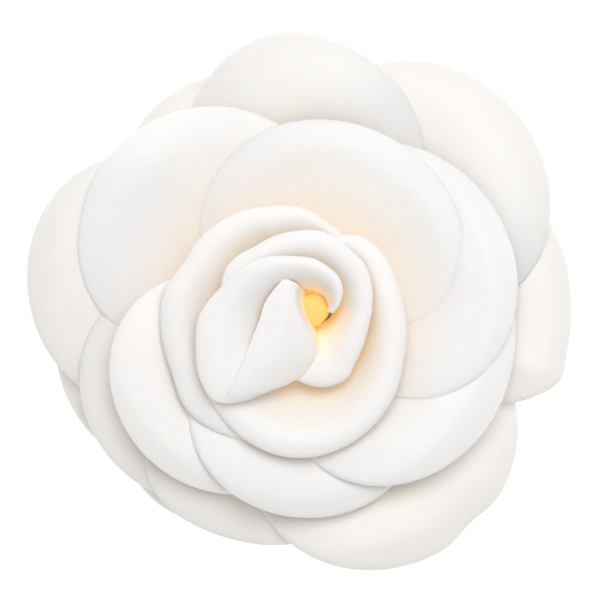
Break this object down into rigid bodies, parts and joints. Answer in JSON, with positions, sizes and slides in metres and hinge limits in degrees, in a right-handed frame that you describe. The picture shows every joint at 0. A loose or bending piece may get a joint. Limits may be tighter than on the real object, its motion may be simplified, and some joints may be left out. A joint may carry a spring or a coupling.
{
  "type": "flower hair clip",
  "caption": "Ivory satin fabric flower with rolled petals round a spiral bud, on a felt-backed base glued to a sprung alligator clip whose lower jaw opens.",
  "frame": {"origin": "on the flower's axis, level with the underside of the clip's thumb tab", "axes": "+Z out of the flower's face, +X along the clip from its thumb tab to its jaw tip, +Y to the top of the flower as seen from the front"},
  "size_m": [0.1009, 0.0989, 0.0493],
  "materials": {
    "white_satin": "satin",
    "white_felt": "matte",
    "buckram": "matte",
    "hot_glue": "gloss",
    "clip_steel": "nickel plated",
    "spring_steel": "satin"
  },
  "bodies": {
    "flower": {"bud_leaf_inner": "white_satin", "bud_petal_middle": "white_satin", "bud_petal_outer": "white_satin", "inner_petal_right": "white_satin", "inner_petal_left": "white_satin", "middle_petal_top": "white_satin", "middle_petal_right": "white_satin", "middle_petal_lower_right": "white_satin", "middle_petal_bottom": "white_satin", "middle_petal_lower_left": "white_satin", "shoulder_petal": "white_satin", "outer_petal_top": "white_satin", "outer_petal_upper_right": "white_satin", "outer_petal_right": "white_satin", "outer_petal_lower_right": "white_satin", "outer_petal_bottom": "white_satin", "outer_petal_lower_left": "white_satin", "outer_petal_left": "white_satin", "back_petal_upper_left": "white_satin", "back_petal_left": "white_satin", "back_petal_lower_left": "white_satin", "bud_core": "buckram", "petal_hub": "buckram", "glue_pad": "hot_glue", "base_disc": "buckram", "felt_back": "white_felt", "clip_upper_arm": "clip_steel", "jaw_liner": "white_felt", "hinge_pin": "clip_steel", "torsion_spring": "spring_steel"},
    "lower_jaw": {"clip_lower_arm": "clip_steel"}
  },
  "joints": [
    {"name": "jaw_hinge", "type": "hinge", "parent": "flower", "child": "lower_jaw", "pos_m": [-0.008, 0, 0.0054], "axis": [0, 1, 0], "range_deg": [0, 18], "stiffness_Nm_per_rad": 0.15, "springref_deg": -34.38, "deforming": ["torsion_spring"]}
  ]
}
